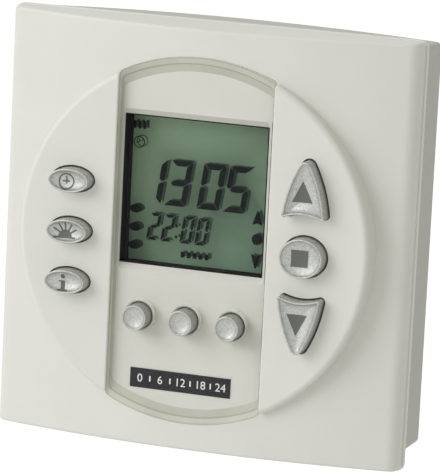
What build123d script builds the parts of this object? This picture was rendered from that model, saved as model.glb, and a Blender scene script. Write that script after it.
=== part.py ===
from build123d import *
import math
import os

os.makedirs("parts", exist_ok=True)

# Frame: X to the right, Y into the wall, Z up, millimetres.
# The wall is the plane y = 0 and the front of the round panel lies panel_front in front of it.

# ---- driving dimensions -------------------------------------------------------
panel_front = 21.3          # wall to the flat front of the round panel

# cover
cover_w, cover_h = 85.0, 84.4
cover_corner = 1.5          # corner radius seen from the front
cover_back = 10.6           # depth of the joint line between cover and base
lip_depth, lip_step = 0.9, 0.16
side_inset = 0.2            # side walls behind the lip
cover_draft = 3.2           # degrees
barrel_radius = 155.0       # large curve of the cover's front, about the vertical
barrel_front = 1.0          # depth of the front at the middle of that curve
side_roll = 3.0             # rounding of the left and right front edges
top_roll = 0.6              # rounding of the upper and lower front edges
cover_wall = 2.0

# round panel and display lens
panel_radius = 35.95
panel_edge = 1.1            # rounding of the panel's rim
panel_corner = 0.4          # rounding of the panel's corners beside the lens
lens_x, lens_half = -0.5, 15.85     # middle of the clear strip, and half its width
lens_radius = 36.05         # round ends of the clear strip
lens_corner = 1.3           # rounding where they meet its straight sides
lens_edge = 0.3             # bevel along the round ends
lens_thick = 2.2
lens_gap = 0.04             # between the lens and the cover
floor_back = 3.8            # back of the floor behind the lens
side_panel_back = 2.2       # back of the panel beside the lens

# display
display_x = -0.8            # middle of the display
window_x = 14.6             # half the width of the opening in the bezel's collar
window_low, window_high = -5.6, 23.4
collar_wall, collar_gap = 0.2, 0.05
bevel_x, bevel_z, bevel_depth = 0.6, 1.15, 1.1
glass_w, glass_h = 34.6, 35.0
glass_front, glass_thick = 6.1, 2.8
glass_lip, lip_front = 0.5, 5.7     # side lips of the bezel over the glass
reflector_thick = 0.25
bezel_w, bezel_h = 36.0, 37.0

# boards
board_front, board_thick = 11.0, 1.6
board_w, board_h, board_z = 76.0, 70.0, 2.0

# base
base_inset = 0.6
base_top, base_bottom = 40.65, -38.95
base_crown = 1.0            # rise of the slightly arched top
base_corner = 1.2
base_wall = 1.8
base_floor = 2.0
tongue_depth = 1.3          # how far the base reaches up inside the cover

# keys
key_rise = 2.9              # how far the keys stand out of the panel
key_gap = 0.38              # gap between a key and its hole
dish_depth = 0.42
dish_slope = 0.5            # how far the dish's foot lies inside its brim
key_travel = 0.8
oval_w, oval_h = 8.4, 4.7
oval_x, oval_z, oval_pitch = -25.0, -0.1, 10.06      # middle of the sun key, and the keys' spacing
stop_w, stop_h = 8.7, 7.7
right_x, right_z = 23.3, -0.18      # middle of the stop key
arrow_half_w, arrow_low, arrow_high = 4.35, 7.55, 19.05     # heights above the stop key's middle
soft_radius, soft_pitch, soft_z = 2.5, 9.56, -15.55
soft_gap = 0.2              # gap between a soft key and its hole
soft_spots = [lens_x - soft_pitch, lens_x, lens_x + soft_pitch]
collar_radius = 3.15
collar_sink, collar_sink_depth = 0.1, 0.45      # countersink of the soft keys' collars
flange_gap = 0.3            # key flange to the wall it stops against
flange_thick = 0.8

# switches
switch_size, switch_height = 6.0, 3.5
plunger_radius, plunger_rise = 1.7, 1.0
plunger_gap = 0.3

# wall screws and cable hole
screw_spacing = 60.0
screw_hole_radius = 2.1
cable_w, cable_h, cable_z = 22.0, 15.0, -11.5


# ---- helpers ------------------------------------------------------------------
def y_at(depth):
    """Y of a plane that lies depth behind the front of the round panel."""
    return depth - panel_front


def slab(face, front, back, taper=0):
    """Solid on a face drawn in X and Z, from depth front to depth back, narrowing forwards."""
    return extrude(Plane.XZ.offset(-y_at(back)) * face, amount=back - front, taper=taper)


def inward(face, front, depth, taper):
    """Solid on a face drawn at depth front, going back by depth and narrowing backwards."""
    return extrude(Plane.XZ.offset(-y_at(front)) * face, amount=-depth, taper=taper)


def block(x0, x1, z0, z1, front, back):
    """Box between two depths."""
    return slab(Pos((x0 + x1) / 2, (z0 + z1) / 2) * Rectangle(x1 - x0, z1 - z0), front, back)


def disc(x, z, radius, front, back):
    """Cylinder along Y between two depths."""
    return slab(Pos(x, z) * Circle(radius), front, back)


def edges_at(solid, depth):
    """Edges that lie wholly in one plane of constant depth."""
    y = y_at(depth)
    return solid.edges().filter_by_position(Axis.Y, y - 1e-3, y + 1e-3)


def save(name, shape):
    """Write one node, a single solid or a group of them."""
    solids = shape.solids() if hasattr(shape, "solids") else shape
    solids = list(solids)
    out = solids[0] if len(solids) == 1 else Compound(children=solids)
    export_step(out, f"parts/{name}.step")


# ---- outlines drawn in X and Z ------------------------------------------------
def lens_outline(grow=0.0):
    """Upright strip with round ends."""
    strip = Pos(lens_x, 0) * Rectangle(2 * (lens_half + grow), 100) & Circle(lens_radius + grow)
    return fillet(strip.vertices(), lens_corner + grow)


def oval_outline(grow=0.0):
    return Ellipse(oval_w / 2 + grow, oval_h / 2 + grow)


def stop_outline(grow=0.0):
    return Ellipse(stop_w / 2 + grow, stop_h / 2 + grow)


def window_outline(grow_x=0.0, grow_z=None):
    """Opening in front of the display, grown sideways and upwards."""
    grow_z = grow_x if grow_z is None else grow_z
    spot = Pos(display_x, (window_low + window_high) / 2)
    return spot * Rectangle(2 * (window_x + grow_x), window_high - window_low + 2 * grow_z)


def arrow_outline(grow=0.0, up=1):
    """Pointed arch with a hollow foot, above the stop key or, with up = -1, below it."""
    left = (right_x - arrow_half_w, up * arrow_low)
    right = (right_x + arrow_half_w, up * arrow_low)
    tip = (right_x, up * (arrow_high + 0.9))
    bulge = 0.72
    mid_z = (arrow_low + arrow_high + 0.9) / 2 + bulge * 0.4
    side_l = (right_x - arrow_half_w / 2 - bulge, up * mid_z)
    side_r = (right_x + arrow_half_w / 2 + bulge, up * mid_z)
    outline = Curve() + [
        ThreePointArc(left, side_l, tip),
        ThreePointArc(tip, side_r, right),
        ThreePointArc(right, (right_x, up * (arrow_low + 0.95)), left),
    ]
    face = make_face(outline.edges())
    face = fillet(max(face.vertices(), key=lambda v: abs(v.Y)), 1.25)
    feet = [v for v in face.vertices() if abs(abs(v.Y) - arrow_low) < 1e-3]
    face = Pos(0, right_z) * fillet(feet, 0.55)
    return offset(face, amount=grow) if grow else face


# ---- front cover --------------------------------------------------------------
def barrel(radius, front):
    """Upright cylinder whose nearest line lies at depth front."""
    return Pos(0, y_at(front) + radius, 0) * Cylinder(radius, 200)


def barrel_profile(half, side_y):
    """Cover seen from above: large front curve rolling into straight sides."""
    edge_y = y_at(barrel_front) + barrel_radius - math.sqrt(barrel_radius ** 2 - half ** 2)
    outline = Curve() + [
        ThreePointArc((-half, edge_y), (0, y_at(barrel_front)), (half, edge_y)),
        Line((half, edge_y), (half, side_y)),
        Line((half, side_y), (-half, side_y)),
        Line((-half, side_y), (-half, edge_y)),
    ]
    face = make_face(outline.edges())
    return fillet(face.vertices().sort_by(Axis.Y)[:2], side_roll)


def cover_shell():
    lip = slab(RectangleRounded(cover_w, cover_h, cover_corner), cover_back - lip_depth, cover_back)
    lip = fillet(edges_at(lip, cover_back - lip_depth), 0.2)
    inner_w, inner_h = cover_w - 2 * lip_step, cover_h - 2 * lip_step
    body = slab(RectangleRounded(inner_w, inner_h, cover_corner - lip_step), -1.0, cover_back,
                taper=cover_draft)
    front = extrude(barrel_profile(inner_w / 2 - side_inset, y_at(cover_back)), amount=100, both=True)
    body = body & front
    upper = [e for e in body.edges() if abs(e.center().Z) > cover_h / 2 - 2.6
             and e.center().Y < y_at(cover_back) - 1]
    creases = [e for e in upper if e.bounding_box().size.Y < 5 or e.bounding_box().size.X > 20]
    body = fillet(creases, top_roll)
    plateau = disc(0, 0, panel_radius, 0, cover_back - 2)
    plateau = fillet(edges_at(plateau, 0), panel_edge)
    strip = lens_half + lens_gap
    plateau -= block(lens_x - strip, lens_x + strip, -50, 50, -1, cover_back)
    plateau = fillet(plateau.edges().filter_by(Axis.Y), panel_corner)
    return lip + body + plateau


def cover_hollow():
    wall = cover_wall
    prism = slab(RectangleRounded(cover_w - 2 * wall - 0.5, cover_h - 2 * wall - 0.5, 1.2),
                 -1.0, cover_back)
    room = prism & barrel(barrel_radius - wall, barrel_front + wall)
    room += disc(0, 0, panel_radius - wall, side_panel_back, cover_back)
    strip = lens_half + 1.4
    room -= block(lens_x - strip, lens_x + strip, -60, 60, -2, floor_back)
    return room


def key_holes():
    """Every hole in the panel for a key, the soft keys' included."""
    holes = []
    for step in (-1, 0, 1):
        holes.append(Pos(oval_x, oval_z + step * oval_pitch) * oval_outline(key_gap))
    for x in soft_spots:
        holes.append(Pos(x, soft_z) * Circle(soft_radius + soft_gap))
    holes.append(Pos(right_x, right_z) * stop_outline(key_gap))
    holes.append(arrow_outline(key_gap))
    holes.append(arrow_outline(key_gap, up=-1))
    return holes


boss_spots = [(-35.2, 34.3), (35.2, 34.3), (-35.2, -30.3), (35.2, -30.3)]
screw_shank = 1.25


def front_cover():
    cover = cover_shell() - cover_hollow()
    cover -= slab(lens_outline(lens_gap), -2, lens_thick)
    for x in soft_spots:
        cover += disc(x, soft_z, collar_radius - 0.05, 0, lens_thick)
    for face in key_holes():
        cover -= slab(face, -2, floor_back + 1)
    slope = math.degrees(math.atan2(collar_radius - collar_sink - soft_radius - soft_gap, collar_sink_depth))
    for x in soft_spots:
        sink = Pos(x, soft_z) * Circle(collar_radius - 0.05 - collar_sink)
        cover -= inward(sink, 0, collar_sink_depth, slope - 1)
    around = collar_wall + collar_gap
    cover -= slab(window_outline(around), 0, floor_back + 1)
    wide = window_outline(around + bevel_x, around + bevel_z)
    wide = fillet(wide.vertices(), 1.0)
    narrow = fillet(window_outline(around).vertices(), 0.2)
    at_floor, at_foot = (Plane.XZ.offset(-y_at(lens_thick + drop)) for drop in (0, bevel_depth))
    cover -= loft(Sketch() + [at_floor * wide, at_foot * narrow])
    for x, z in boss_spots:
        cover += disc(x, z, 2.9, 6.0, board_front)
        cover -= disc(x, z, screw_shank, 7.0, board_front + 1)
    return cover


# ---- display ------------------------------------------------------------------
display_spot = Pos(display_x, (window_low + window_high) / 2)
glass_back = glass_front + glass_thick
strip_h = 2.2


def display_lens():
    plate = disc(0, 0, lens_radius, 0, lens_thick)
    plate = chamfer(edges_at(plate, 0), lens_edge)
    lens = plate & slab(lens_outline(), 0, lens_thick)
    for x in soft_spots:
        lens -= disc(x, soft_z, collar_radius, -1, lens_thick + 1)
    return lens


def lcd_bezel():
    bezel = slab(display_spot * Rectangle(bezel_w, bezel_h), floor_back, board_front)
    bezel += slab(window_outline(collar_wall), lens_thick + bevel_depth, floor_back)
    bezel -= slab(window_outline(), 0, lip_front)
    bezel -= slab(window_outline(-glass_lip, 0), 0, glass_front + 1)
    return bezel - slab(display_spot * Rectangle(glass_w, glass_h), glass_front, board_front + 1)


def lcd_glass():
    return slab(display_spot * Rectangle(glass_w, glass_h), glass_front, glass_back)


def lcd_reflector():
    face = display_spot * Rectangle(glass_w - 0.6, glass_h - 2 * strip_h - 1.0)
    return slab(face, glass_back, glass_back + reflector_thick)


def contact_strips():
    strips = []
    for side in (-1, 1):
        spot = display_spot * Pos(0, side * (glass_h - strip_h) / 2)
        strips.append(slab(spot * Rectangle(glass_w - 1, strip_h), glass_back, board_front))
    return strips


# ---- keys ---------------------------------------------------------------------
def key(outline, spot, flange_grow, wall_back):
    """Cap with a dished top, a flange behind the panel and a stem down to its switch.

    outline draws the cap for a given growth, and spot puts it in place.
    """
    flange_front = wall_back + flange_gap
    cap = slab(spot * outline(0), -key_rise, flange_front)
    cap = fillet(edges_at(cap, -key_rise), 0.16)
    brim = Plane.XZ.offset(-y_at(-key_rise)) * (spot * outline(-rim))
    low = Plane.XZ.offset(-y_at(-key_rise + dish_depth)) * (spot * outline(-rim - dish_slope))
    cap -= loft(Sketch() + [brim, low])
    flange = spot * outline(flange_grow)
    cap += slab(flange, flange_front, flange_front + flange_thick)
    centre = flange.center()
    stem = disc(centre.X, centre.Y, 1.4, flange_front + flange_thick, plunger_top)
    return cap + stem


plunger_top = board_front - switch_height - plunger_rise
rim = 0.55

key_spots = {
    "clock_key": (oval_x, oval_z + oval_pitch),
    "sun_key": (oval_x, oval_z),
    "info_key": (oval_x, oval_z - oval_pitch),
    "soft_key_left": (soft_spots[0], soft_z),
    "soft_key_middle": (soft_spots[1], soft_z),
    "soft_key_right": (soft_spots[2], soft_z),
    "up_key": (right_x, right_z + 12.6),
    "stop_key": (right_x, right_z),
    "down_key": (right_x, right_z - 12.6),
}


def round_outline(grow=0.0):
    return Circle(soft_radius + grow)


def key_solid(name):
    spot = Pos(*key_spots[name])
    if name.startswith("soft"):
        return key(round_outline, spot, 1.0, floor_back)
    if name == "stop_key":
        return key(stop_outline, spot, 0.75, side_panel_back)
    if name == "up_key":
        return key(arrow_outline, Pos(0, 0), 0.75, side_panel_back)
    if name == "down_key":
        return key(lambda grow: arrow_outline(grow, up=-1), Pos(0, 0), 0.75, side_panel_back)
    return key(oval_outline, spot, 0.75, side_panel_back)


switch_front = board_front - switch_height
plunger_back = switch_front + 1.2


def plunger(name):
    x, z = key_spots[name]
    return disc(x, z, plunger_radius, plunger_top, plunger_back)


def switch_body(name):
    x, z = key_spots[name]
    half = switch_size / 2
    body = block(x - half, x + half, z - half, z + half, switch_front, board_front)
    well = disc(x, z, plunger_radius + plunger_gap, switch_front - 1,
                plunger_back + key_travel + plunger_gap)
    body = fillet(body.edges().filter_by(Axis.Y), 0.5)
    return body - well


# ---- main board and what is on it ---------------------------------------------
board_back = board_front + board_thick
pin_xs = [-10.0 + 5.0 * k for k in range(5)]
pin_z = -24.5


def main_board():
    board = slab(Pos(0, board_z) * RectangleRounded(board_w, board_h, 2.0), board_front, board_back)
    for x, z in boss_spots:
        board -= disc(x, z, screw_shank + 0.25, board_front - 1, board_back + 1)
    for x in pin_xs:
        board -= block(x - 0.5, x + 0.5, pin_z - 0.5, pin_z + 0.5, board_front - 1, board_back + 1)
    return board


def board_screws():
    screws = []
    for x, z in boss_spots:
        shank = disc(x, z, screw_shank, 7.6, board_back)
        head = disc(x, z, 2.4, board_back, board_back + 1.6)
        head = fillet(edges_at(head, board_back + 1.6), 0.6)
        for slot in (Rectangle(2.6, 0.6), Rectangle(0.6, 2.6)):
            head -= slab(Pos(x, z) * slot, board_back + 0.7, board_back + 3)
        screws.append(shank + head)
    return screws


def controller_chip():
    size = 11.0
    chip = block(-size / 2, size / 2, 8.0 - size / 2, 8.0 + size / 2, board_front - 1.6, board_front - 0.2)
    chip = chamfer(chip.edges().filter_by(Axis.Y), 0.5)
    dot = disc(-4.0, 12.0, 0.5, board_front - 1.7, board_front - 1.5)
    chip -= dot
    leg_front, leg_back = board_front - 0.75, board_front
    for k in range(-5, 6):
        shift = k * 0.8
        for side in (-1, 1):
            far, near = side * (size / 2 + 0.9), side * (size / 2 - 0.1)
            chip += block(min(far, near), max(far, near), 8 + shift - 0.18, 8 + shift + 0.18,
                          leg_front, leg_back)
            chip += block(shift - 0.18, shift + 0.18, 8 + min(far, near), 8 + max(far, near),
                          leg_front, leg_back)
    return chip


def lying_can(x, z, radius, length, seat, direction):
    """Round can lying on a board: seat is the board face, direction -1 in front, 1 behind."""
    mid = y_at(seat) + direction * radius
    can = Pos(x, mid, z) * Rot(0, 90, 0) * Cylinder(radius, length)
    return fillet(can.edges().filter_by(GeomType.CIRCLE), radius * 0.18)


def relays():
    bodies = []
    for side in (-1, 1):
        x = side * 24.0
        body = block(x - 10, x + 10, 10.0, 22.6, board_back, board_back + 5.6)
        body = fillet(body.edges().filter_by(Axis.Y), 0.6)
        body = chamfer(edges_at(body, board_back + 5.6), 0.3)
        bodies.append(body)
    return bodies


def dropper_capacitor():
    body = block(-9.0, 9.0, 24.0, 31.6, board_back, board_back + 5.8)
    return fillet(body.edges().filter_by(Axis.Y) + edges_at(body, board_back + 5.8), 0.5)


def backup_cell():
    cell = disc(0, 13.6, 8.0, board_back + 0.6, board_back + 3.8)
    cell = fillet(edges_at(cell, board_back + 3.8), 0.5)
    tray = disc(0, 13.6, 6.6, board_back, board_back + 0.6)
    return cell + tray


def cell_clip():
    clip = block(-2.0, 2.0, 3.4, 21.0, board_back + 3.8, board_back + 4.2)
    clip += block(-2.0, 2.0, 3.0, 3.4, board_back, board_back + 4.2)
    return clip


# ---- terminals ----------------------------------------------------------------
block_half, block_low, block_high = 14.0, -33.0, -21.5
block_front = board_back + 1.2
base_inside = panel_front - base_floor


def contact_pins():
    pins = []
    for x in pin_xs:
        pin = block(x - 0.4, x + 0.4, pin_z - 0.4, pin_z + 0.4, board_front - 1.0, board_back + 4.6)
        pins.append(chamfer(edges_at(pin, board_back + 4.6), 0.2))
    return pins


def pin_header():
    header = block(pin_xs[0] - 2.5, pin_xs[-1] + 2.5, pin_z - 1.4, pin_z + 1.4, board_back,
                   board_back + 1.0)
    for x in pin_xs:
        header -= block(x - 0.4, x + 0.4, pin_z - 0.4, pin_z + 0.4, board_back - 1, board_back + 3)
    return header


screw_z = -29.6


def terminal_block():
    body = block(-block_half, block_half, block_low, block_high, block_front, base_inside)
    body = fillet(body.edges().filter_by(Axis.Y), 0.6)
    for x in pin_xs:
        body -= block(x - 0.6, x + 0.6, pin_z - 0.6, pin_z + 0.6, block_front - 1, base_inside - 1.0)
        body -= disc(x, screw_z, 1.75, block_front - 1, base_inside - 1.2)
        body -= block(x - 1.5, x + 1.5, -23.2, block_high + 1, base_inside - 3.6, base_inside - 1.0)
    return body


def terminal_screws():
    screws = []
    for x in pin_xs:
        screw = disc(x, screw_z, 1.75, block_front + 0.5, base_inside - 1.2)
        screw -= block(x - 1.75, x + 1.75, screw_z - 0.25, screw_z + 0.25, block_front - 1,
                       block_front + 1.2)
        screws.append(screw)
    return screws


# ---- base ---------------------------------------------------------------------
def base_outline(inset=0.0):
    """Base seen from the front: straight sides and foot, slightly arched top."""
    half = cover_w / 2 - base_inset - inset
    low, high = base_bottom + inset, base_top - inset
    outline = Curve() + [
        Line((-half, high), (-half, low)),
        Line((-half, low), (half, low)),
        Line((half, low), (half, high)),
        ThreePointArc((half, high), (0, high + base_crown), (-half, high)),
    ]
    face = make_face(outline.edges())
    return fillet(face.vertices(), max(base_corner - inset, 0.5))


def rear_base():
    box = slab(base_outline(), cover_back, panel_front)
    box = fillet(edges_at(box, panel_front), 0.5)
    tongue_w = cover_w - 2 * cover_wall - 0.9
    tongue_h = cover_h - 2 * cover_wall - 0.9
    tongue = slab(RectangleRounded(tongue_w, tongue_h, 1.0), cover_back - tongue_depth, cover_back + 1.2)
    tongue -= slab(RectangleRounded(tongue_w, tongue_h, 1.0) - Pos(0, 0) * base_outline(0.3),
                   cover_back, cover_back + 2)
    base = box + tongue
    base -= slab(base_outline(base_wall), cover_back - tongue_depth - 1, base_inside)
    base -= slab(Pos(0, cable_z) * RectangleRounded(cable_w, cable_h, 2.0), base_inside - 1,
                 panel_front + 1)
    for side in (-1, 1):
        base -= disc(side * screw_spacing / 2, 0, screw_hole_radius, base_inside - 1, panel_front + 1)
        pad = disc(side * screw_spacing / 2, 0, 4.6, base_inside - 0.8, base_inside)
        base += pad - disc(side * screw_spacing / 2, 0, screw_hole_radius, 0, panel_front)
    return base


# ---- write every node ---------------------------------------------------------
save("front_cover", front_cover())
save("display_lens", display_lens())
save("lcd_bezel", lcd_bezel())
save("lcd_glass", lcd_glass())
save("lcd_reflector", lcd_reflector())
save("contact_strips", contact_strips())
for key_name in key_spots:
    save(key_name, key_solid(key_name))
    save(key_name.replace("_key", "") + "_plunger", plunger(key_name))
save("switch_bodies", [switch_body(n) for n in key_spots])
save("main_board", main_board())
save("board_screws", board_screws())
save("controller_chip", controller_chip())
save("clock_crystal", lying_can(0, -4.5, 0.75, 6.0, board_front, -1))
save("relays", relays())
save("dropper_capacitor", dropper_capacitor())
save("smoothing_capacitor", lying_can(-24.0, 2.0, 2.9, 11.0, board_back, 1))
save("backup_cell", backup_cell())
save("cell_clip", cell_clip())
save("contact_pins", contact_pins())
save("pin_header", pin_header())
save("terminal_block", terminal_block())
save("terminal_screws", terminal_screws())
save("rear_base", rear_base())
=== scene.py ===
import math
import bpy
from mathutils import Matrix, Vector


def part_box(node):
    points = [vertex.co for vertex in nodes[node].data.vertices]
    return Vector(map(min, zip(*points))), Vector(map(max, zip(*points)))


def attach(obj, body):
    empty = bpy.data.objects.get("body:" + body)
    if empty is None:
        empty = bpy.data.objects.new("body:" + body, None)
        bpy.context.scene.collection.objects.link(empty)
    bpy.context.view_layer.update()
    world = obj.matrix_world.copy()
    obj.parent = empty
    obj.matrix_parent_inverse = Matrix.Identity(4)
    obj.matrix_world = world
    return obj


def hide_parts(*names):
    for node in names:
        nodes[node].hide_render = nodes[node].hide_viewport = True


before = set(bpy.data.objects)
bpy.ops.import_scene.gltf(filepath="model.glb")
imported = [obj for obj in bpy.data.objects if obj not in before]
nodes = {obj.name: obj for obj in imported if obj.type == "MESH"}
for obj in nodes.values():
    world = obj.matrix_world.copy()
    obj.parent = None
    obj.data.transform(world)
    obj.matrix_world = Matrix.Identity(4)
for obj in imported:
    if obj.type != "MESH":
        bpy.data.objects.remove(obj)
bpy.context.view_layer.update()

mm = 0.001


# small helpers

def deselectAll():
    if bpy.context.object and bpy.context.object.mode != "OBJECT":
        bpy.ops.object.mode_set(mode="OBJECT")
    bpy.ops.object.select_all(action="DESELECT")


def makeActive(piece):
    deselectAll()
    piece.select_set(True)
    bpy.context.view_layer.objects.active = piece


def applyModifiers(piece):
    makeActive(piece)
    for modifier in list(piece.modifiers):
        bpy.ops.object.modifier_apply(modifier=modifier.name)


def bakePlace(piece):
    # the place goes into the mesh, so the object stays at the origin
    makeActive(piece)
    bpy.ops.object.transform_apply(location=True, rotation=True, scale=True)


def joinPieces(pieces, name):
    deselectAll()
    for piece in pieces:
        piece.select_set(True)
    bpy.context.view_layer.objects.active = pieces[0]
    if len(pieces) > 1:
        bpy.ops.object.join()
    joined = bpy.context.view_layer.objects.active
    joined.name = name
    return joined


def give(piece, material):
    piece.data.materials.clear()
    piece.data.materials.append(material)


def smoothByAngle(piece, degrees):
    makeActive(piece)
    bpy.ops.object.shade_smooth_by_angle(angle=math.radians(degrees))


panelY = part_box("display_lens")[0].y  # front of the round panel and of the clear strip
print("scene: frame loaded")


# camera

view = {
    "azimuth": 19.49,  # degrees to the object's right
    "elevation": 10.61,  # degrees above the horizon
    "roll": 2.85,  # degrees that the camera leans
    "distance": 0.7415,
    "target": (5.9 * mm, panelY, 1.88 * mm),
    "lens": 292.7,  # millimetres, as the sensor's width is
    "sensorWidth": 36,
    "farthest": 50,
}


def makeCamera():
    azimuth, elevation = math.radians(view["azimuth"]), math.radians(view["elevation"])
    target = Vector(view["target"])
    back = Vector((math.sin(azimuth) * math.cos(elevation),
                   -math.cos(azimuth) * math.cos(elevation),
                   math.sin(elevation)))
    place = target + back * view["distance"]
    data = bpy.data.cameras.new("productCamera")
    camera = bpy.data.objects.new("productCamera", data)
    bpy.context.scene.collection.objects.link(camera)
    turn = (-back).to_track_quat("-Z", "Y").to_matrix().to_4x4()
    roll = Matrix.Rotation(math.radians(view["roll"]), 4, "Z")
    camera.matrix_world = Matrix.Translation(place) @ turn @ roll
    data.sensor_width = view["sensorWidth"]
    data.lens = view["lens"]
    data.clip_end = view["farthest"]
    bpy.context.scene.camera = camera


makeCamera()
print("scene: camera set")


# light and floor

lighting = {
    "worldStrength": (0.14, 0.70),  # below and above
    "worldTint": (1, 1, 0.95, 1),
    "lampTint": (1, 1, 1.04),
    "keyPower": 11.9,
    "keyPlace": (-0.93, -1.07, 0.66),
    "keySize": 1.1,
    "fillPower": 0.25,
    "fillPlace": (0.9, -1.2, 0.2),
    "fillSize": 1.0,
    "floorZ": -0.30,
    "floorSize": 30,
    "floorColour": (0.86, 0.86, 0.86, 1),
    "floorGlow": 0.5,  # added for the eye, so the floor reads white and keeps its shadow
}


def addAreaLight(name, place, size, power):
    data = bpy.data.lights.new(name, "AREA")
    data.shape = "SQUARE"
    data.size = size
    data.energy = power
    data.color = lighting["lampTint"]
    lamp = bpy.data.objects.new(name, data)
    bpy.context.scene.collection.objects.link(lamp)
    aim = (Vector((0, panelY, 0)) - Vector(place)).to_track_quat("-Z", "Y")
    lamp.matrix_world = Matrix.Translation(place) @ aim.to_matrix().to_4x4()


def calculate(tree, operation, *values):
    # a Math node on links or plain numbers
    node = tree.nodes.new("ShaderNodeMath")
    node.operation = operation
    for socket, value in zip(node.inputs, values):
        if isinstance(value, (int, float)):
            socket.default_value = value
        else:
            tree.links.new(value, socket)
    return node.outputs[0]


def mapRange(tree, value, start, end=(0.0, 1.0)):
    node = tree.nodes.new("ShaderNodeMapRange")
    node.inputs["From Min"].default_value, node.inputs["From Max"].default_value = start
    node.inputs["To Min"].default_value, node.inputs["To Max"].default_value = end
    tree.links.new(value, node.inputs["Value"])
    return node.outputs["Result"]


def rayKinds(tree, *kinds):
    # 1 for rays of any of these kinds
    path = tree.nodes.new("ShaderNodeLightPath")
    found = path.outputs[kinds[0]]
    for kind in kinds[1:]:
        found = calculate(tree, "MAXIMUM", found, path.outputs[kind])
    return found


def seenDirectly(tree):
    # rays from the eye, straight or by way of metal or glass
    return rayKinds(tree, "Is Camera Ray", "Is Glossy Ray", "Is Transmission Ray")


def makeWorld():
    world = bpy.data.worlds.new("softWorld")
    bpy.context.scene.world = world
    world.use_nodes = True
    tree = world.node_tree
    tree.nodes.clear()
    out = tree.nodes.new("ShaderNodeOutputWorld")
    soft = tree.nodes.new("ShaderNodeBackground")
    soft.inputs["Color"].default_value = lighting["worldTint"]
    towards = tree.nodes.new("ShaderNodeTexCoord")
    axes = tree.nodes.new("ShaderNodeSeparateXYZ")
    tree.links.new(towards.outputs["Generated"], axes.inputs[0])
    strength = mapRange(tree, axes.outputs["Z"], (-1.0, 1.0), lighting["worldStrength"])
    tree.links.new(strength, soft.inputs["Strength"])
    white = tree.nodes.new("ShaderNodeBackground")
    white.inputs["Color"].default_value = (1, 1, 1, 1)
    white.inputs["Strength"].default_value = 1.0
    mix = tree.nodes.new("ShaderNodeMixShader")
    tree.links.new(seenDirectly(tree), mix.inputs[0])
    tree.links.new(soft.outputs[0], mix.inputs[1])
    tree.links.new(white.outputs[0], mix.inputs[2])
    tree.links.new(mix.outputs[0], out.inputs[0])


def makeFloor():
    deselectAll()
    bpy.ops.mesh.primitive_plane_add(size=lighting["floorSize"], location=(0, 0, lighting["floorZ"]))
    floor = bpy.context.object
    floor.name = "floor"
    bakePlace(floor)
    material = bpy.data.materials.new("floorPale")
    material.use_nodes = True
    tree = material.node_tree
    tree.nodes.clear()
    out = tree.nodes.new("ShaderNodeOutputMaterial")
    matte = tree.nodes.new("ShaderNodeBsdfDiffuse")
    matte.inputs["Color"].default_value = lighting["floorColour"]
    glow = tree.nodes.new("ShaderNodeEmission")
    glow.inputs["Color"].default_value = (1, 1, 1, 1)
    strength = calculate(tree, "MULTIPLY", seenDirectly(tree), lighting["floorGlow"])
    tree.links.new(strength, glow.inputs["Strength"])
    add = tree.nodes.new("ShaderNodeAddShader")
    tree.links.new(matte.outputs[0], add.inputs[0])
    tree.links.new(glow.outputs[0], add.inputs[1])
    tree.links.new(add.outputs[0], out.inputs[0])
    give(floor, material)


makeWorld()
makeFloor()
addAreaLight("keyLight", lighting["keyPlace"], lighting["keySize"], lighting["keyPower"])
addAreaLight("fillLight", lighting["fillPlace"], lighting["fillSize"], lighting["fillPower"])
bpy.context.scene.view_settings.view_transform = "Standard"
print("scene: light and floor made")


# materials

def newMaterial(name):
    material = bpy.data.materials.new(name)
    material.use_nodes = True
    tree = material.node_tree
    tree.nodes.clear()
    out = tree.nodes.new("ShaderNodeOutputMaterial")
    shader = tree.nodes.new("ShaderNodeBsdfPrincipled")
    tree.links.new(shader.outputs[0], out.inputs["Surface"])
    return material, tree, shader


def objectPlace(tree):
    return tree.nodes.new("ShaderNodeTexCoord").outputs["Object"]


def noise(tree, place, scale, detail=3.0, roughness=0.55):
    texture = tree.nodes.new("ShaderNodeTexNoise")
    texture.inputs["Scale"].default_value = scale
    texture.inputs["Detail"].default_value = detail
    texture.inputs["Roughness"].default_value = roughness
    tree.links.new(place, texture.inputs["Vector"])
    return texture.outputs["Fac"]


noiseMiddle = (0.3, 0.7)  # where nearly all of a noise lies


def spread(tree, value, low, high):
    return mapRange(tree, value, noiseMiddle, (low, high))


def mixColours(tree, factor, first, second, kind="MIX"):
    # each of the three is a link, or a plain number or colour
    mix = tree.nodes.new("ShaderNodeMix")
    mix.data_type = "RGBA"
    mix.blend_type = kind
    for socket, value in ((mix.inputs[0], factor), (mix.inputs[6], first), (mix.inputs[7], second)):
        if isinstance(value, tuple):
            socket.default_value = (*value, 1)
        elif isinstance(value, float):
            socket.default_value = value
        else:
            tree.links.new(value, socket)
    return mix.outputs[2]


def bump(tree, shader, height, strength, distance):
    node = tree.nodes.new("ShaderNodeBump")
    node.inputs["Strength"].default_value = strength
    node.inputs["Distance"].default_value = distance
    tree.links.new(height, node.inputs["Height"])
    tree.links.new(node.outputs[0], shader.inputs["Normal"])


cloudScale = 60  # of the faint clouds in every plastic


def mouldedPlastic(name, colour, roughness=(0.42, 0.5), grain=2600, depth=0.00003, variation=0.015,
                   strength=0.5, gloss=0.5):
    # moulded plastic: a fine spark-eroded grain and faint clouds of colour
    material, tree, shader = newMaterial(name)
    place = objectPlace(tree)
    darker = tuple(c * (1 - variation) for c in colour)
    lighter = tuple(min(c * (1 + variation), 1) for c in colour)
    clouds = spread(tree, noise(tree, place, cloudScale), 0, 1)
    tree.links.new(mixColours(tree, clouds, darker, lighter), shader.inputs["Base Color"])
    fine = noise(tree, place, grain, 2.0)
    tree.links.new(spread(tree, fine, *roughness), shader.inputs["Roughness"])
    shader.inputs["Specular IOR Level"].default_value = gloss
    bump(tree, shader, fine, strength, depth)
    return material


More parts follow.
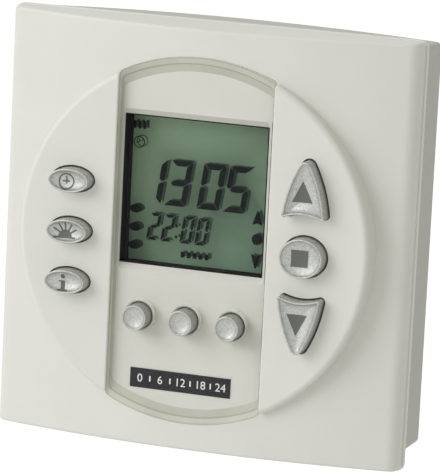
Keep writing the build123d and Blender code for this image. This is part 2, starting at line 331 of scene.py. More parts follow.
def brushedMetal(name, colour, roughness=(0.25, 0.42), stretch=(40, 900, 900), depth=0.00001):
    # metal with drawn lines along X
    material, tree, shader = newMaterial(name)
    mapping = tree.nodes.new("ShaderNodeMapping")
    mapping.inputs["Scale"].default_value = stretch
    tree.links.new(objectPlace(tree), mapping.inputs["Vector"])
    lines = noise(tree, mapping.outputs[0], 3.0, 4.0)
    dull = tuple(c * 0.85 for c in colour)
    tree.links.new(mixColours(tree, spread(tree, lines, 0, 1), dull, colour), shader.inputs["Base Color"])
    tree.links.new(spread(tree, lines, *roughness), shader.inputs["Roughness"])
    shader.inputs["Metallic"].default_value = 1.0
    bump(tree, shader, lines, 0.4, depth)
    return material


paint = {
    "flakeScale": 6500,
    "cloudScale": 750,
    "darkFlakes": ((0.27, 0.275, 0.255), (0.44, 0.445, 0.42)),  # each kind goes from the first to the second
    "lightFlakes": ((0.40, 0.405, 0.38), (0.66, 0.665, 0.63)),
    "metallic": 0.55,
    "roughness": (0.4, 0.54),
    "dimpleScale": 1700,
    "dimpleStrength": 0.5,
    "dimpleDepth": 0.00004,
}


def silverPaint(name):
    # silver paint on plastic: tiny flakes over a soft grey, with a dimpled surface
    material, tree, shader = newMaterial(name)
    place = objectPlace(tree)
    flakes = tree.nodes.new("ShaderNodeTexVoronoi")
    flakes.inputs["Scale"].default_value = paint["flakeScale"]
    tree.links.new(place, flakes.inputs["Vector"])
    flakeValue = tree.nodes.new("ShaderNodeSeparateColor")
    tree.links.new(flakes.outputs["Color"], flakeValue.inputs[0])
    cloud = noise(tree, place, paint["cloudScale"], 4.0, 0.7)
    dark = mixColours(tree, cloud, *paint["darkFlakes"])
    light = mixColours(tree, cloud, *paint["lightFlakes"])
    tree.links.new(mixColours(tree, flakeValue.outputs[0], dark, light), shader.inputs["Base Color"])
    shader.inputs["Metallic"].default_value = paint["metallic"]
    dimples = noise(tree, place, paint["dimpleScale"])
    tree.links.new(spread(tree, dimples, *paint["roughness"]), shader.inputs["Roughness"])
    bump(tree, shader, dimples, paint["dimpleStrength"], paint["dimpleDepth"])
    return material


def passLamps(material, tree, shader, tint):
    # lamps and soft light go straight through, only the eye sees the bending
    out = next(n for n in tree.nodes if n.type == "OUTPUT_MATERIAL")
    through = tree.nodes.new("ShaderNodeBsdfTransparent")
    through.inputs["Color"].default_value = (*tint, 1)
    mix = tree.nodes.new("ShaderNodeMixShader")
    tree.links.new(rayKinds(tree, "Is Shadow Ray", "Is Diffuse Ray"), mix.inputs[0])
    tree.links.new(shader.outputs[0], mix.inputs[1])
    tree.links.new(through.outputs[0], mix.inputs[2])
    tree.links.new(mix.outputs[0], out.inputs["Surface"])


clearTint = (0.06, 0.06, 0.06, 1)  # holds reflections back, so what lies behind stays readable


def clearMaterial(name, tint, passTint, roughness, bending, waves):
    # lamps pass through it, with faint waves in its surface: scale, strength and depth
    material, tree, shader = newMaterial(name)
    shader.inputs["Base Color"].default_value = (*tint, 1)
    shader.inputs["Roughness"].default_value = roughness
    shader.inputs["IOR"].default_value = bending
    shader.inputs["Specular Tint"].default_value = clearTint
    shader.inputs["Transmission Weight"].default_value = 1.0
    scale, strength, depth = waves
    bump(tree, shader, noise(tree, objectPlace(tree), scale, 2.0), strength, depth)
    passLamps(material, tree, shader, passTint)
    return material


coverPlastic = mouldedPlastic("coverPlastic", (0.726, 0.724, 0.672), gloss=0.42)
# darker than the cover, its tone taken from its shaded side: partly painted shade
basePlastic = mouldedPlastic("basePlastic", (0.485, 0.485, 0.437), grain=1800, depth=0.00004, gloss=0.2)
blackPlastic = mouldedPlastic("blackPlastic", (0.016, 0.016, 0.016), roughness=(0.4, 0.55), variation=0.1)
bezelBlack = mouldedPlastic("bezelBlack", (0.014, 0.014, 0.0135), roughness=(0.65, 0.8), variation=0.1,
                            gloss=0.1)
lensPlastic = clearMaterial("lensPlastic", (0.995, 0.995, 0.99), (0.995, 0.995, 0.99), 0.01, 1.49,
                            (90, 0.05, 0.00002))
displayGlass = clearMaterial("displayGlass", (0.98, 0.99, 0.98), (0.99, 0.99, 0.99), 0.03, 1.5,
                             (700, 0.05, 0.00001))
keySilver = silverPaint("keySilver")
plungerIvory = mouldedPlastic("plungerIvory", (0.6, 0.59, 0.54), roughness=(0.35, 0.5))
stripRubber = mouldedPlastic("stripRubber", (0.2, 0.2, 0.22), roughness=(0.7, 0.85), variation=0.3)
chipResin = mouldedPlastic("chipResin", (0.025, 0.025, 0.028), roughness=(0.5, 0.65), grain=3500)
relayPlastic = mouldedPlastic("relayPlastic", (0.02, 0.02, 0.024), roughness=(0.3, 0.45), grain=1500)
capacitorResin = mouldedPlastic("capacitorResin", (0.55, 0.33, 0.05), roughness=(0.35, 0.5), grain=700,
                                depth=0.00008)
terminalPlastic = mouldedPlastic("terminalPlastic", (0.27, 0.29, 0.28), roughness=(0.4, 0.55))
screwSteel = brushedMetal("screwSteel", (0.56, 0.56, 0.57))
canMetal = brushedMetal("canMetal", (0.68, 0.68, 0.7), roughness=(0.18, 0.3))
cellSteel = brushedMetal("cellSteel", (0.62, 0.61, 0.6), roughness=(0.2, 0.34))
contactBrass = brushedMetal("contactBrass", (0.78, 0.6, 0.26))
printGrey = mouldedPlastic("printGrey", (0.105, 0.118, 0.095), roughness=(0.45, 0.6), grain=3000,
                           variation=0.08)
segmentInk = mouldedPlastic("segmentInk", (0.005, 0.008, 0.008), roughness=(0.6, 0.7), variation=0.1,
                            depth=0.000002, gloss=0.1)
# painted shadows of the display's segments on the reflecting film
segmentShadowPaint = mouldedPlastic("segmentShadowPaint", (0.045, 0.075, 0.055), roughness=(0.6, 0.7), variation=0.1,
                           depth=0.000002, gloss=0.1)
stripDark = mouldedPlastic("stripDark", (0.033, 0.031, 0.036), roughness=(0.5, 0.6), variation=0.06, gloss=0.15)
stripLight = mouldedPlastic("stripLight", (0.84, 0.84, 0.8), roughness=(0.45, 0.55))


frost = {
    "roughness": 0.55,
    "gloss": 0.2,
    "grainScale": 900,
    "grainStrength": 0.3,
    "grainDepth": 0.00002,
    "passTint": (0.97, 0.97, 0.95),
}


def frostedEdge(name, colour, variation):
    # the clear strip's frosted edge: cloudy, and lamps pass through it; its darker and lighter bands are
    # painted shade and painted highlight of the edge
    material, tree, shader = newMaterial(name)
    place = objectPlace(tree)
    clouds = spread(tree, noise(tree, place, cloudScale, 4.0), 0, 1)
    darker = tuple(c * (1 - variation) for c in colour)
    lighter = tuple(c * (1 + variation) for c in colour)
    tree.links.new(mixColours(tree, clouds, darker, lighter), shader.inputs["Base Color"])
    shader.inputs["Roughness"].default_value = frost["roughness"]
    shader.inputs["Specular IOR Level"].default_value = frost["gloss"]
    grain = noise(tree, place, frost["grainScale"])
    bump(tree, shader, grain, frost["grainStrength"], frost["grainDepth"])
    passLamps(material, tree, shader, frost["passTint"])
    return material


frostPaintedShade = frostedEdge("frostPaintedShade", (0.47, 0.475, 0.40), 0.16)
frostMiddle = frostedEdge("frostMiddle", (0.54, 0.545, 0.47), 0.14)
frostPaintedHighlight = frostedEdge("frostPaintedHighlight", (0.64, 0.645, 0.57), 0.12)


board = {
    "trackScale": 170,
    "trackWidth": 0.06,
    "mask": ((0.012, 0.11, 0.035, 1), (0.015, 0.13, 0.045, 1)),
    "track": (0.03, 0.22, 0.08, 1),
    "roughness": (0.22, 0.36),
    "roughnessScale": 400,
    "trackRise": 0.00004,
}


def boardMaterial():
    # green solder mask: tracks show through as raised, lighter lines on a grid
    material, tree, shader = newMaterial("boardMask")
    place = objectPlace(tree)
    tracks = tree.nodes.new("ShaderNodeTexBrick")
    tracks.inputs["Scale"].default_value = board["trackScale"]
    tracks.inputs["Mortar Size"].default_value = board["trackWidth"]
    tracks.inputs["Color1"].default_value, tracks.inputs["Color2"].default_value = board["mask"]
    tracks.inputs["Mortar"].default_value = board["track"]
    turn = tree.nodes.new("ShaderNodeMapping")
    turn.inputs["Rotation"].default_value = (math.radians(90), 0, 0)
    tree.links.new(place, turn.inputs["Vector"])
    tree.links.new(turn.outputs[0], tracks.inputs["Vector"])
    tree.links.new(tracks.outputs["Color"], shader.inputs["Base Color"])
    dull = spread(tree, noise(tree, place, board["roughnessScale"]), *board["roughness"])
    tree.links.new(dull, shader.inputs["Roughness"])
    bump(tree, shader, tracks.outputs["Fac"], 0.4, board["trackRise"])
    return material


boardMask = boardMaterial()


film = {
    # darker to the lower right: partly the film's own tone, partly painted shade of the light's falloff
    "upperLeft": (0.25, 0.365, 0.242),
    "lowerRight": (0.125, 0.205, 0.145),
    "lean": (-0.03, 0.018),  # X minus Z, in metres, at which each colour is reached
    "edgeFrom": 0.45,  # part of the way from the middle to the side where the painted light starts
    "paintedEdgeLight": (0.87, 1.48),  # painted light against the recess's shade: times the colour, in the middle and at the side
    "grain": (0.93, 1.06),
    "grainScale": 2200,
    "roughness": (0.55, 0.7),
    "roughnessScale": 1200,
    "gloss": 0.15,
}


def filmMaterial():
    # grey-green reflecting film, darker towards its lower right corner, partly its own tone and partly painted
    # shade of the light's falloff; paler at its edges and darker in the middle by painted light against the
    # shade of the window's recess
    material, tree, shader = newMaterial("displayFilm")
    place = objectPlace(tree)
    axes = tree.nodes.new("ShaderNodeSeparateXYZ")
    tree.links.new(place, axes.inputs[0])
    lean = calculate(tree, "SUBTRACT", axes.outputs["X"], axes.outputs["Z"])
    shade = mixColours(tree, mapRange(tree, lean, film["lean"]), film["upperLeft"], film["lowerRight"])
    low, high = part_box("lcd_reflector")
    sides = []
    for axis, span in (("X", (low.x, high.x)), ("Z", (low.z, high.z))):
        sides.append(calculate(tree, "ABSOLUTE", mapRange(tree, axes.outputs[axis], span, (-1.0, 1.0))))
    reach = calculate(tree, "MAXIMUM", *sides)
    # painted light: the film paler at its edges and darker in the middle, against the shade of the window's
    # recess
    paintedLight = mapRange(tree, reach, (film["edgeFrom"], 1.0), film["paintedEdgeLight"])
    grains = spread(tree, noise(tree, place, film["grainScale"], 2.0), *film["grain"])
    for factor in (paintedLight, grains):
        shade = mixColours(tree, 1.0, shade, factor, "MULTIPLY")
    tree.links.new(shade, shader.inputs["Base Color"])
    shader.inputs["Specular IOR Level"].default_value = film["gloss"]
    dull = spread(tree, noise(tree, place, film["roughnessScale"]), *film["roughness"])
    tree.links.new(dull, shader.inputs["Roughness"])
    return material


filmColour = filmMaterial()

finishes = {
    "front_cover": coverPlastic,
    "display_lens": lensPlastic,
    "rear_base": basePlastic,
    "lcd_bezel": bezelBlack,
    "lcd_glass": displayGlass,
    "lcd_reflector": filmColour,
    "contact_strips": stripRubber,
    "main_board": boardMask,
    "switch_bodies": blackPlastic,
    "board_screws": screwSteel,
    "controller_chip": chipResin,
    "clock_crystal": canMetal,
    "relays": relayPlastic,
    "dropper_capacitor": capacitorResin,
    "smoothing_capacitor": canMetal,
    "backup_cell": cellSteel,
    "cell_clip": cellSteel,
    "contact_pins": contactBrass,
    "pin_header": blackPlastic,
    "terminal_block": terminalPlastic,
    "terminal_screws": screwSteel,
}
for name, node in nodes.items():
    if name in finishes:
        finish = finishes[name]
    elif name.endswith("_plunger"):
        finish = plungerIvory
    else:
        finish = keySilver
    for slot in node.material_slots:
        slot.material = finish
print("scene: finishes on the CAD nodes")


# drawing in X and Z, in millimetres

def drawCurve(name, loops):
    curve = bpy.data.curves.new(name, "CURVE")
    for loop in loops:
        line = curve.splines.new("POLY")
        line.points.add(len(loop) - 1)
        for point, (x, z) in zip(line.points, loop):
            point.co = (x, z, 0, 1)
        line.use_cyclic_u = True
    piece = bpy.data.objects.new(name, curve)
    bpy.context.scene.collection.objects.link(piece)
    return piece


def toMesh(piece):
    makeActive(piece)
    bpy.ops.object.convert(target="MESH")
    return bpy.context.object


def standUp(piece, depth):
    # from the drawing plane to its depth behind the panel's front
    piece.matrix_world = (Matrix.Translation((0, panelY + depth * mm, 0))
                          @ Matrix.Rotation(math.radians(90), 4, "X") @ Matrix.Scale(mm, 4))
    bakePlace(piece)
    return piece


seamGap = 2e-7  # metres; points nearer to each other than this become one


def editAll():
    bpy.ops.object.mode_set(mode="EDIT")
    bpy.ops.mesh.select_all(action="SELECT")


def leaveEdit():
    bpy.ops.object.mode_set(mode="OBJECT")


def closeSeams(piece):
    makeActive(piece)
    editAll()
    bpy.ops.mesh.remove_doubles(threshold=seamGap)
    bpy.ops.mesh.normals_make_consistent(inside=False)
    leaveEdit()
    return piece


def flatShape(name, loops, depth, thickness):
    # a loop within a loop is a hole
    piece = drawCurve(name, loops)
    piece.data.dimensions = "2D"
    piece.data.fill_mode = "BOTH"
    piece.data.extrude = thickness / 2
    return closeSeams(standUp(toMesh(piece), depth + thickness / 2))


def oval(x, z, radiusX, radiusZ=None, count=64):
    radiusZ = radiusX if radiusZ is None else radiusZ
    turns = [2 * math.pi * k / count for k in range(count)]
    return [(x + radiusX * math.cos(t), z + radiusZ * math.sin(t)) for t in turns]


def bar(x, z, length, width, angle=0.0):
    c, s = math.cos(math.radians(angle)), math.sin(math.radians(angle))
    corners = [(-1, -1), (1, -1), (1, 1), (-1, 1)]
    return [(x + (a * length * c - b * width * s) / 2, z + (a * length * s + b * width * c) / 2)
            for a, b in corners]


def arcThrough(a, b, c, parts):
    # points on the circle through a, b and c, at these parts of the way from a to c
    start, middle, end = (complex(*p) for p in (a, b, c))
    w = (end - start) / (middle - start)
    centre = start + (middle - start) * (w - abs(w) ** 2) / (w - w.conjugate())
    turn = (end - centre) / (start - centre)
    angle = math.atan2(turn.imag, turn.real)
    points = []
    for part in parts:
        spot = centre + (start - centre) * complex(math.cos(angle * part), math.sin(angle * part))
        points.append((spot.real, spot.imag))
    return points


# keys

keys = {
    "rise": 2.9,  # millimetres out of the panel
    "foot": 2.5,  # depth of the flange beside the strip, and behind it
    "softFoot": 4.1,
    "overlap": 0.1,  # how far cap and stem go into the flange
    "flange": (0.75, 0.8),  # how far it stands out, and its thickness
    "softFlange": (1.0, 0.8),
    "stem": (1.4, 6.5),  # radius, and the depth it ends at
    "edgeSteps": ((0.03, 0.15), (0.07, 0.08), (0.12, 0.03), (0.12, -0.04), (0.06, -0.08)),  # inwards, forwards
    "bowlDepth": 1.05,
    "softBowlDepth": 0.6,
    "bowlPower": 0.6,
    "bowlRings": 12,
    "bowlEnd": 0.04,  # the last ring's part of the cap, before it closes
    "cornerSegments": 10,
    "smoothAngle": 40,
    "ovalPoints": 96,
    "softPoints": 72,
    "stemPoints": 48,
    "clock": (-25.0, 9.96),
    "sun": (-25.0, -0.1),
    "info": (-25.0, -10.16),
    "ovalHalf": (4.2, 2.35),
    "stop": (23.3, -0.18),
    "stopHalf": (4.35, 3.85),
    "softRadius": 2.5,
    "softX": -0.5,
    "softPitch": 9.56,
    "softZ": -15.55,
    "arrow": {
        "x": 23.3, "z": -0.18, "half": 4.35, "low": 7.55, "high": 19.95,
        "bulge": 0.72,  # how far the sides bow outwards
        "bulgeLift": 0.4,  # how far above the middle they do, in bulges
        "hollow": 0.95,
        "tipGrow": 1.6,  # the tip moves further than the sides when the arrow grows
        "tipReach": 2.3, "footReach": 0.7,  # how far the corners are rounded
        "sideParts": (0.09, 0.2, 0.32, 0.44, 0.56, 0.67, 0.77),  # where points stand on each arc
        "footParts": (0.12, 0.25, 0.4, 0.5, 0.6, 0.75, 0.88),
    },
}


def arrowLoop(up, grow=0.0):
    arrow = keys["arrow"]
    x, half = arrow["x"], arrow["half"] + grow
    low, high = arrow["low"] - grow, arrow["high"] + arrow["tipGrow"] * grow
    midZ = (low + high) / 2 + arrow["bulge"] * arrow["bulgeLift"]
    shift = arrow["z"]
    left, right, tip = (x - half, shift + up * low), (x + half, shift + up * low), (x, shift + up * high)
    bulge = half / 2 + arrow["bulge"]
    leftSide = arcThrough(left, (x - bulge, shift + up * midZ), tip, arrow["sideParts"])
    rightSide = arcThrough(right, (x + bulge, shift + up * midZ), tip, arrow["sideParts"])
    hollow = (x, shift + up * (low + arrow["hollow"]))
    foot = arcThrough(right, hollow, left, arrow["footParts"])
    corners = [(tip, arrow["tipReach"]), (left, arrow["footReach"]), (right, arrow["footReach"])]
    return [left] + leftSide + [tip] + rightSide[::-1] + [right] + foot, corners


def outlineFace(name, loop, corners, depth):
    # one face that looks to the front, its corners rounded
    piece = drawCurve(name, [loop])
    piece.data.dimensions = "3D"
    piece = toMesh(piece)
    editAll()
    bpy.ops.mesh.edge_face_add()
    bpy.ops.mesh.select_mode(type="VERT")
    for (x, z), reach in corners:
        bpy.ops.mesh.select_all(action="DESELECT")
        leaveEdit()
        min(piece.data.vertices, key=lambda v: math.hypot(v.co.x - x, v.co.y - z)).select = True
        bpy.ops.object.mode_set(mode="EDIT")
        bpy.ops.mesh.bevel(offset=reach, segments=keys["cornerSegments"], affect="VERTICES")
    leaveEdit()
    standUp(piece, depth)
    if piece.data.polygons[0].normal.y > 0:
        editAll()
        bpy.ops.mesh.flip_normals()
        leaveEdit()
    return piece


def selectFront(piece):
    # the piece's one face becomes the selection for the next steps
    makeActive(piece)
    bpy.ops.object.mode_set(mode="EDIT")
    bpy.ops.mesh.select_mode(type="FACE")
    bpy.ops.mesh.select_all(action="SELECT")


def pull(forward):
    bpy.ops.mesh.extrude_region_move(TRANSFORM_OT_translate={"value": (0, -forward * mm, 0)})


def makeCap(name, loop, corners, foot, grown, flange, bowl):
    # a dished cap, with its flange behind the panel and its stem
    overlap = keys["overlap"]
    cap = outlineFace(name, loop, corners, foot + overlap)
    centre = sum((v.co for v in cap.data.vertices), Vector()) / len(cap.data.vertices)
    selectFront(cap)
    pull(keys["rise"] + foot + overlap - sum(max(forward, 0) for _, forward in keys["edgeSteps"]))
    for inwards, forward in keys["edgeSteps"]:
        bpy.ops.mesh.inset(thickness=inwards * mm, depth=forward * mm)
    wide, sunk = 1.0, 0.0
    for k in range(1, keys["bowlRings"] + 1):
        narrow = max(math.cos(math.radians(90 * k / keys["bowlRings"])), keys["bowlEnd"])
        drop = bowl * (1 - narrow ** 2) ** keys["bowlPower"]
        pull(sunk - drop)
        bpy.ops.transform.resize(value=(narrow / wide, 1, narrow / wide), center_override=centre)
        wide, sunk = narrow, drop
    bpy.ops.mesh.merge(type="CENTER")
    leaveEdit()
    plate = outlineFace(name + "Flange", grown, corners, foot + flange[1])
    selectFront(plate)
    pull(flange[1])
    leaveEdit()
    radius, end = keys["stem"]
    ring = oval(centre.x / mm, centre.z / mm, radius, count=keys["stemPoints"])
    stem = outlineFace(name + "Stem", ring, [], end)
    selectFront(stem)
    pull(end - foot - flange[1] + overlap)
    leaveEdit()
    cap = joinPieces([cap, plate, stem], name)
    closeSeams(cap)
    give(cap, keySilver)
    smoothByAngle(cap, keys["smoothAngle"])
    return cap


def roundCap(name, x, z, halfX, halfZ, points, foot, flange, bowl):
    grow = flange[0]
    return makeCap(name, oval(x, z, halfX, halfZ, points), [], foot,
                   oval(x, z, halfX + grow, halfZ + grow, points), flange, bowl)


def seatCap(cap, body, node):
    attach(cap, body)
    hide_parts(node)


caps = {}
for label in ("clock", "sun", "info", "stop"):
    half = keys["stopHalf"] if label == "stop" else keys["ovalHalf"]
    caps[label] = roundCap(label + "Cap", *keys[label], *half, keys["ovalPoints"], keys["foot"], keys["flange"],
                           keys["bowlDepth"])
    seatCap(caps[label], label + "_button", label + "_key")
for label, up in (("up", 1), ("down", -1)):
    loop, corners = arrowLoop(up)
    grown, _ = arrowLoop(up, keys["flange"][0])
    caps[label] = makeCap(label + "Cap", loop, corners, keys["foot"], grown, keys["flange"], keys["bowlDepth"])
    seatCap(caps[label], label + "_button", label + "_key")
for label, step in (("left", -1), ("middle", 0), ("right", 1)):
    x, radius = keys["softX"] + step * keys["softPitch"], keys["softRadius"]
    caps[label] = roundCap("soft" + label.capitalize() + "Cap", x, keys["softZ"], radius, radius,
                           keys["softPoints"], keys["softFoot"], keys["softFlange"], keys["softBowlDepth"])
    seatCap(caps[label], "soft_" + label + "_button", "soft_key_" + label)
print("scene: key caps made")


# marks on the keys

markings = {
    "thickness": 0.03,
    "lift": 0.015,  # above the cap's dish
    "start": 0.4,  # how far in front of the cap it is drawn
    "cuts": 5,
    "triangle": ((20.8, 10.6), (24.9, 10.6), (22.8, 14.8)),
    "downShift": (0.08, -0.62),
    "square": (22.9, -0.3, 3.4, 3.3),
    "clock": (-25.64, 9.69),
    "clockRing": (1.62, 0.3),  # radius and line
    "clockHands": ((-0.02, 0.3, 0.3, 1.6), (0.4, 0.02, 0.52, 0.3), (-0.5, 0.02, 0.62, 0.3)),
    "sun": (-25.45, -1.22),
    "sunDisc": (1.38, 1.3),
    "sunDiscStep": 6,  # degrees
    "sunRays": (1.3, 2.85, 0.32),  # from, to and width
    "sunAngles": (33, 61, 90, 118, 146),
    "sunBase": (4.4, 0.3),
    "sunBaseDrop": 0.16,
    "info": (-25.4, -10.3),
    "infoDot": (-0.16, 1.08, 0.45),
    "infoStem": ((-1.0, -1.7), (1.0, -1.7), (1.0, -1.4), (0.42, -1.4), (0.25, 0.25), (-1.0, 0.25),
                 (-1.0, -0.02), (-0.62, -0.02), (-0.45, -1.4), (-1.0, -1.4)),
}


def printMark(label, groups):
    # a thin print that follows the cap's dish
    parts = [flatShape("print", loops, -keys["rise"] - markings["start"], 0) for loops in groups]
    mark = joinPieces(parts, label + "Mark")
    editAll()
    bpy.ops.mesh.subdivide(number_cuts=markings["cuts"])
    leaveEdit()
    wrap = mark.modifiers.new("wrap", "SHRINKWRAP")
    wrap.target = caps[label]
    wrap.wrap_method = "PROJECT"
    wrap.use_project_y = True
    wrap.use_negative_direction = True
    wrap.use_positive_direction = True
    shell = mark.modifiers.new("shell", "SOLIDIFY")
    shell.thickness = markings["thickness"] * mm
    shell.offset = 0
    applyModifiers(mark)
    editAll()
    bpy.ops.transform.translate(value=(0, -markings["lift"] * mm, 0))
    bpy.ops.mesh.normals_make_consistent(inside=False)
    leaveEdit()
    give(mark, printGrey)
    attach(mark, label + "_button")


def shifted(points, x, z):
    return [(x + u, z + v) for u, v in points]


def sunGroups(x, z):
    wide, high = markings["sunDisc"]
    turns = [math.radians(t) for t in range(0, 181, markings["sunDiscStep"])]
    groups = [[[(x + wide * math.cos(t), z + high * math.sin(t)) for t in turns]],
              [bar(x, z - markings["sunBaseDrop"], *markings["sunBase"])]]
    first, last, width = markings["sunRays"]
    reach = (first + last) / 2
    for angle in markings["sunAngles"]:
        turn = math.radians(angle)
        groups.append([bar(x + reach * math.cos(turn), z + reach * math.sin(turn), last - first, width, angle)])
    return groups


def infoGroups(x, z):
    dotX, dotZ, radius = markings["infoDot"]
    return [[oval(x + dotX, z + dotZ, radius, count=32)], [shifted(markings["infoStem"], x, z)]]


def clockGroups(x, z):
    radius, line = markings["clockRing"]
    hands = [[bar(x + u, z + v, length, width)] for u, v, length, width in markings["clockHands"]]
    return [[oval(x, z, radius), oval(x, z, radius - line)[::-1]]] + hands


downX, downZ = markings["downShift"]
printMark("up", [[list(markings["triangle"])]])
printMark("down", [[[(x + downX, -z + downZ) for x, z in markings["triangle"][::-1]]]])
printMark("stop", [[bar(*markings["square"])]])
printMark("clock", clockGroups(*markings["clock"]))
printMark("sun", sunGroups(*markings["sun"]))
printMark("info", infoGroups(*markings["info"]))
print("scene: marks on the keys")


# what the display shows

display = {
    "darkDepth": 6.04,  # just in front of the glass
    "paintedShadowDepth": 8.84,  # painted shadows of the segments, just in front of the reflecting film
    "thickness": 0.02,
    "slant": math.tan(math.radians(8)),
    "gap": 0.1,
    "rows": (  # digits, left side of each, foot, and their width, height and stroke
        ("1305", (-13.25, -8.0, -1.15, 4.2), 5.8, (4.6, 9.1, 1.15)),
        ("2200", (-11.3, -8.3, -4.35, -1.25), -1.38, (2.3, 5.4, 0.6)),
    ),
    "colonX": -5.05,
    "colonZ": (1.9, -0.25),
    "colonRadius": 0.3,
    "pillX": -13.7,
    "pillZ": (4.5, 0.85, -2.75),
    "pillHalf": (1.25, 0.83),
    "arrowX": 11.6,
    "arrowZ": ((1, 5.25), (-1, -3.25)),  # which way it points, and its height
    "arrow": ((-1.1, -1.4), (0, -1.05), (1.1, -1.4), (0.15, 1.4), (-0.15, 1.4)),
    "dot": (11.65, 1.07, 1.1),
    "ring": (-13.6, 17.7, 1.18, 0.98),  # middle, and its two radii
    "ringHands": ((0, 0.3, 0.16, 0.75), (-0.3, 0, 0.6, 0.16)),
    "blocks": (  # how many, the first one's place, pitch, width and height
        (3, -14.6, 21.1, 1.0, 0.62, 1.5),
        (5, -3.5, -3.6, 1.25, 0.8, 1.15),
    ),
}
lit = {"0": "abcdef", "1": "bc", "2": "abged", "3": "abgcd", "5": "afgcd"}


def digitLoops(digit, left, low, size):
    width, height, stroke = size
    gap, middle = display["gap"], height / 2
    top = [(gap, height), (width - gap, height), (width - stroke - gap, height - stroke),
           (stroke + gap, height - stroke)]
    side = [(0, height - gap), (stroke, height - stroke - gap), (stroke, middle + stroke * 0.45 + gap),
            (stroke * 0.45, middle + gap / 2), (0, middle + stroke * 0.25 + gap / 2)]
    core = [(stroke * 0.5 + gap, middle), (stroke + gap, middle + stroke / 2),
            (width - stroke - gap, middle + stroke / 2), (width - stroke * 0.5 - gap, middle),
            (width - stroke - gap, middle - stroke / 2), (stroke + gap, middle - stroke / 2)]
    shapes = {
        "a": top,
        "d": [(u, height - v) for u, v in top],
        "f": side,
        "e": [(u, height - v) for u, v in side],
        "b": [(width - u, v) for u, v in side],
        "c": [(width - u, height - v) for u, v in side],
        "g": core,
    }
    return [[(left + u + v * display["slant"], low + v) for u, v in shapes[bit]] for bit in lit[digit]]


def displayLoops():
    loops = []
    for digits, lefts, low, size in display["rows"]:
        for digit, left in zip(digits, lefts):
            loops += digitLoops(digit, left, low, size)
    for z in display["colonZ"]:
        loops.append(oval(display["colonX"], z, display["colonRadius"], count=24))
    for z in display["pillZ"]:
        loops.append(oval(display["pillX"], z, *display["pillHalf"], 40))
    for up, z in display["arrowZ"]:
        loops.append([(display["arrowX"] + u, z + up * v) for u, v in display["arrow"]])
    loops.append(oval(*display["dot"], count=40))
    x, z, outer, inner = display["ring"]
    loops += [oval(x, z, outer, count=48), oval(x, z, inner, count=48)[::-1]]
    loops += [bar(x + u, z + v, length, width) for u, v, length, width in display["ringHands"]]
    for count, x, z, pitch, width, height in display["blocks"]:  # plain blocks in place of words
        loops += [bar(x + pitch * k, z, width, height) for k in range(count)]
    return loops


def showDisplay(name, depth, material):
    piece = flatShape(name, displayLoops(), depth, display["thickness"])
    give(piece, material)
    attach(piece, "housing")


showDisplay("displaySegments", display["darkDepth"], segmentInk)
# a copy of the segments on the film, as their painted shadow
showDisplay("paintedSegmentShadows", display["paintedShadowDepth"], segmentShadowPaint)
print("scene: display content made")


# strip of numbers under the soft keys

plate = {
    "size": (20.9, 3.9),
    "middle": (-1.35, -28.2),
    "depth": 2.08,  # printed on the back of the clear strip
    "thickness": 0.06,
    "numbers": ("0", "6", "12", "18", "24"),
    "pitch": 4.2,
    "height": 1.6,
    "fontHeight": 0.7,  # a figure's height as a part of the font's size
    "tick": (0.28, 1.1),
    "letterRise": 0.02,
}


def makeNumber(body, x, z):
    bpy.ops.object.text_add()
    text = bpy.context.object
    text.data.body = body
    text.data.size = plate["height"] / plate["fontHeight"]
    text.data.align_x = "CENTER"
    text.data.align_y = "CENTER"
    text.data.extrude = plate["letterRise"] / 2
    text = toMesh(text)
    low = min(v.co.y for v in text.data.vertices)
    high = max(v.co.y for v in text.data.vertices)
    text.location = (x, z - (low + high) / 2, 0)
    bakePlace(text)
    standUp(text, plate["depth"] - plate["letterRise"] / 2)
    return closeSeams(text)


def makeNumberStrip():
    x, z = plate["middle"]
    width, height = plate["size"]
    ground = flatShape("numberStrip", [bar(x, z, width, height)], plate["depth"], plate["thickness"])
    give(ground, stripDark)
    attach(ground, "housing")
    count = len(plate["numbers"])
    pieces = []
    for k, body in enumerate(plate["numbers"]):
        pieces.append(makeNumber(body, x + (k - (count - 1) / 2) * plate["pitch"], z))
    for k in range(count - 1):
        tick = bar(x + (k - (count - 2) / 2) * plate["pitch"], z, *plate["tick"])
        pieces.append(flatShape("tick", [tick], plate["depth"] - plate["letterRise"], plate["letterRise"]))
    numbers = joinPieces(pieces, "stripNumbers")
    give(numbers, stripLight)
    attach(numbers, "housing")


makeNumberStrip()
print("scene: number strip made")
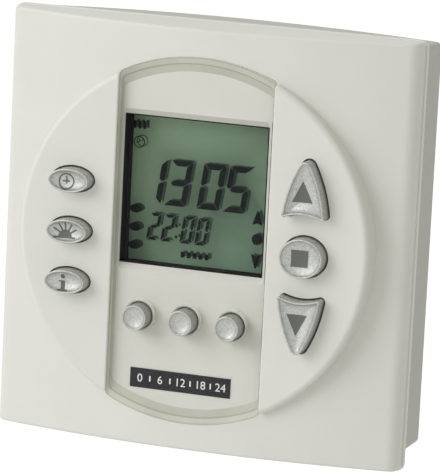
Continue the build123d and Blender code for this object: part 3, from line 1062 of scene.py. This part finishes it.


# frosted border that shows through the clear strip, its bands carrying painted shade and painted highlight

border = {
    "rim": (-16.33, 15.335, 36.02, 0.34),  # left and right side, radius and depth, millimetres
    "outer": (-16.2, 15.33, 35.75, 0.5),
    "ridge": (-16.05, 15.325, 34.9, 1.2),
    "groove": (-15.9, 15.32, 34.6, 1.5),
    "inner": (-15.65, 15.05, 33.2, 2.12),
    "corner": 0.9,
    "thickness": 0.04,
    "arcParts": 48,
    "cornerParts": 6,
    "sideParts": 12,  # in half a side
    "smoothAngle": 30,
}


def stripLoop(left, right, radius, depth):
    # closed loop of a strip with round ends and soft corners
    cut = border["corner"]
    first, last = math.acos(right / radius) + cut / radius, math.acos(left / radius) - cut / radius
    turns = [first + (last - first) * k / border["arcParts"] for k in range(border["arcParts"] + 1)]
    arc = [(radius * math.cos(t), radius * math.sin(t)) for t in turns]
    parts = border["cornerParts"]
    mixes = [(k / parts, 1 - k / parts) for k in range(parts + 1)]
    corners = []
    for side, end in ((right, arc[0]), (left, arc[-1])):
        tip = math.sqrt(radius ** 2 - side ** 2)
        corners.append([(side * (b * b + 2 * a * b) + end[0] * a * a,
                         (tip - cut) * b * b + 2 * a * b * tip + end[1] * a * a) for a, b in mixes])
    upper = corners[0][:-1] + arc + corners[1][-2::-1]
    half = border["sideParts"]
    leftSide = [(left, upper[-1][1] * (1 - k / half)) for k in range(1, 2 * half)]
    rightSide = [(right, -upper[0][1] * (1 - k / half)) for k in range(1, 2 * half)]
    piece = drawCurve("stripLoop", [upper + leftSide + [(x, -z) for x, z in upper[::-1]] + rightSide])
    piece.data.dimensions = "3D"
    return standUp(toMesh(piece), depth)


def makeBorder(name, first, second, material):
    band = joinPieces([stripLoop(*border[first]), stripLoop(*border[second])], name)
    editAll()
    bpy.ops.mesh.bridge_edge_loops()
    bpy.ops.mesh.select_all(action="SELECT")
    bpy.ops.mesh.normals_make_consistent(inside=False)
    leaveEdit()
    shell = band.modifiers.new("shell", "SOLIDIFY")
    shell.thickness = border["thickness"] * mm
    shell.offset = 0
    applyModifiers(band)
    closeSeams(band)
    give(band, material)
    smoothByAngle(band, border["smoothAngle"])
    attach(band, "housing")


makeBorder("stripBorderRim", "rim", "outer", frostPaintedShade)
makeBorder("stripBorderOuter", "outer", "ridge", frostPaintedHighlight)
makeBorder("stripBorderRidge", "ridge", "groove", frostPaintedShade)
makeBorder("stripBorderInner", "groove", "inner", frostMiddle)
print("scene: strip border made")
